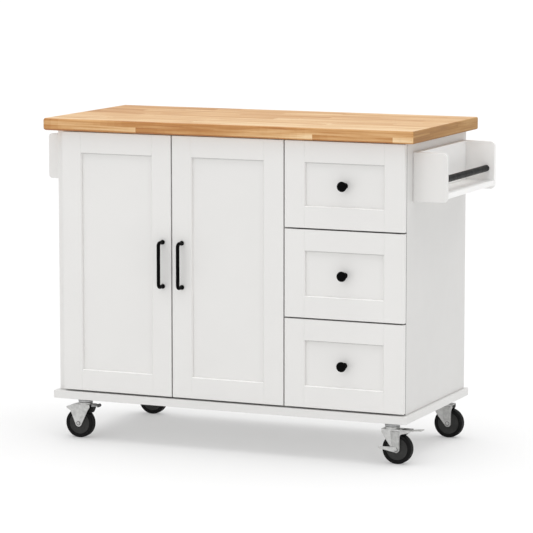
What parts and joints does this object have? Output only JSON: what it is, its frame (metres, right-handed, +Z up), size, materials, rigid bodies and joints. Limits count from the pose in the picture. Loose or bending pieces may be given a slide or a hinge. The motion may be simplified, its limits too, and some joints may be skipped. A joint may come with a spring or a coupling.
{
  "type": "kitchen island cart",
  "caption": "White kitchen island cart on swivel casters, with a butcher-block top, shaker doors and drawers, a spice rack and a towel rack.",
  "frame": {"origin": "middle of the bounding box in X and Y, at the floor under the wheels", "axes": "+Z up, +X along the width to the right seen from the front, front faces -Y"},
  "size_m": [1.199, 0.5379, 0.915],
  "materials": {
    "white_lacquer": "white satin lacquer over board",
    "white_inside": "white melamine-faced board",
    "butcher_block": "oiled honey-coloured butcher block of glued staves",
    "birch_drawer_box": "clear-lacquered pale birch board",
    "black_metal": "matt black powder coat",
    "zinc_steel": "bright zinc-plated pressed steel",
    "tyre": "black rubber tread on a dark hub"
  },
  "bodies": {
    "cabinet": {"base_board": "white_lacquer", "left_side_panel": "white_lacquer", "right_side_panel": "white_lacquer", "front_top_rail": "white_lacquer", "centre_partition": "white_lacquer", "hinge_stile": "white_lacquer", "spice_rack_front_end": "white_lacquer", "spice_rack_rear_end": "white_lacquer", "spice_rack_back": "white_lacquer", "spice_rack_shelf": "white_lacquer", "towel_rack_front_bracket": "white_lacquer", "towel_rack_rear_bracket": "white_lacquer", "back_panel": "white_inside", "cupboard_shelf": "white_inside", "worktop": "butcher_block", "bottom_runner_left": "zinc_steel", "bottom_runner_right": "zinc_steel", "middle_runner_left": "zinc_steel", "middle_runner_right": "zinc_steel", "top_runner_left": "zinc_steel", "top_runner_right": "zinc_steel", "spice_rack_bar": "black_metal", "towel_rack_bar": "black_metal", "front_left_caster_plate": "zinc_steel", "front_right_caster_plate": "zinc_steel", "rear_left_caster_plate": "zinc_steel", "rear_right_caster_plate": "zinc_steel"},
    "left_door": {"left_door_frame": "white_lacquer", "left_door_panel": "white_lacquer", "left_door_handle": "black_metal", "left_door_hinge_lower": "zinc_steel", "left_door_hinge_upper": "zinc_steel"},
    "right_door": {"right_door_frame": "white_lacquer", "right_door_panel": "white_lacquer", "right_door_handle": "black_metal", "right_door_hinge_lower": "zinc_steel", "right_door_hinge_upper": "zinc_steel"},
    "bottom_drawer": {"bottom_drawer_frame": "white_lacquer", "bottom_drawer_panel": "white_lacquer", "bottom_drawer_box": "birch_drawer_box", "bottom_drawer_knob": "black_metal"},
    "middle_drawer": {"middle_drawer_frame": "white_lacquer", "middle_drawer_panel": "white_lacquer", "middle_drawer_box": "birch_drawer_box", "middle_drawer_knob": "black_metal"},
    "top_drawer": {"top_drawer_frame": "white_lacquer", "top_drawer_panel": "white_lacquer", "top_drawer_box": "birch_drawer_box", "top_drawer_knob": "black_metal"},
    "front_left_swivel": {"front_left_caster_fork": "zinc_steel"},
    "front_left_wheel": {"front_left_caster_wheel": "tyre"},
    "front_left_pedal": {"front_left_brake_pedal": "zinc_steel"},
    "front_right_swivel": {"front_right_caster_fork": "zinc_steel"},
    "front_right_wheel": {"front_right_caster_wheel": "tyre"},
    "front_right_pedal": {"front_right_brake_pedal": "zinc_steel"},
    "rear_left_swivel": {"rear_left_caster_fork": "zinc_steel"},
    "rear_left_wheel": {"rear_left_caster_wheel": "tyre"},
    "rear_right_swivel": {"rear_right_caster_fork": "zinc_steel"},
    "rear_right_wheel": {"rear_right_caster_wheel": "tyre"}
  },
  "joints": [
    {"name": "left_door_hinge", "type": "hinge", "parent": "cabinet", "child": "left_door", "pos_m": [-0.5255, -0.235, 0.51], "axis": [0, 0, -1], "range_deg": [0, 105]},
    {"name": "right_door_hinge", "type": "hinge", "parent": "cabinet", "child": "right_door", "pos_m": [0.1495, -0.235, 0.51], "axis": [0, 0, 1], "range_deg": [0, 90]},
    {"name": "bottom_drawer_slide", "type": "slide", "parent": "cabinet", "child": "bottom_drawer", "axis": [0, -1, 0], "range_m": [0, 0.25]},
    {"name": "middle_drawer_slide", "type": "slide", "parent": "cabinet", "child": "middle_drawer", "axis": [0, -1, 0], "range_m": [0, 0.25]},
    {"name": "top_drawer_slide", "type": "slide", "parent": "cabinet", "child": "top_drawer", "axis": [0, -1, 0], "range_m": [0, 0.25]},
    {"name": "front_left_swivel_turn", "type": "hinge", "parent": "cabinet", "child": "front_left_swivel", "pos_m": [-0.4815, -0.188, 0.103], "axis": [0, 0, 1], "continuous": true},
    {"name": "front_left_wheel_spin", "type": "hinge", "parent": "front_left_swivel", "child": "front_left_wheel", "pos_m": [-0.4975, -0.188, 0.042], "axis": [0, 1, 0], "continuous": true},
    {"name": "front_left_pedal_press", "type": "hinge", "parent": "front_left_swivel", "child": "front_left_pedal", "pos_m": [-0.4585, -0.188, 0.0915], "axis": [0, 1, 0], "range_deg": [0, 10]},
    {"name": "front_right_swivel_turn", "type": "hinge", "parent": "cabinet", "child": "front_right_swivel", "pos_m": [0.4535, -0.188, 0.103], "axis": [0, 0, 1], "continuous": true},
    {"name": "front_right_wheel_spin", "type": "hinge", "parent": "front_right_swivel", "child": "front_right_wheel", "pos_m": [0.4695, -0.188, 0.042], "axis": [0, 1, 0], "continuous": true},
    {"name": "front_right_pedal_press", "type": "hinge", "parent": "front_right_swivel", "child": "front_right_pedal", "pos_m": [0.488, -0.188, 0.0915], "axis": [0, 1, 0], "range_deg": [0, 10]},
    {"name": "rear_left_swivel_turn", "type": "hinge", "parent": "cabinet", "child": "rear_left_swivel", "pos_m": [-0.4815, 0.225, 0.103], "axis": [0, 0, 1], "continuous": true},
    {"name": "rear_left_wheel_spin", "type": "hinge", "parent": "rear_left_swivel", "child": "rear_left_wheel", "pos_m": [-0.4655, 0.225, 0.042], "axis": [0, 1, 0], "continuous": true},
    {"name": "rear_right_swivel_turn", "type": "hinge", "parent": "cabinet", "child": "rear_right_swivel", "pos_m": [0.4535, 0.225, 0.103], "axis": [0, 0, 1], "continuous": true},
    {"name": "rear_right_wheel_spin", "type": "hinge", "parent": "rear_right_swivel", "child": "rear_right_wheel", "pos_m": [0.4695, 0.225, 0.042], "axis": [0, 1, 0], "continuous": true}
  ]
}
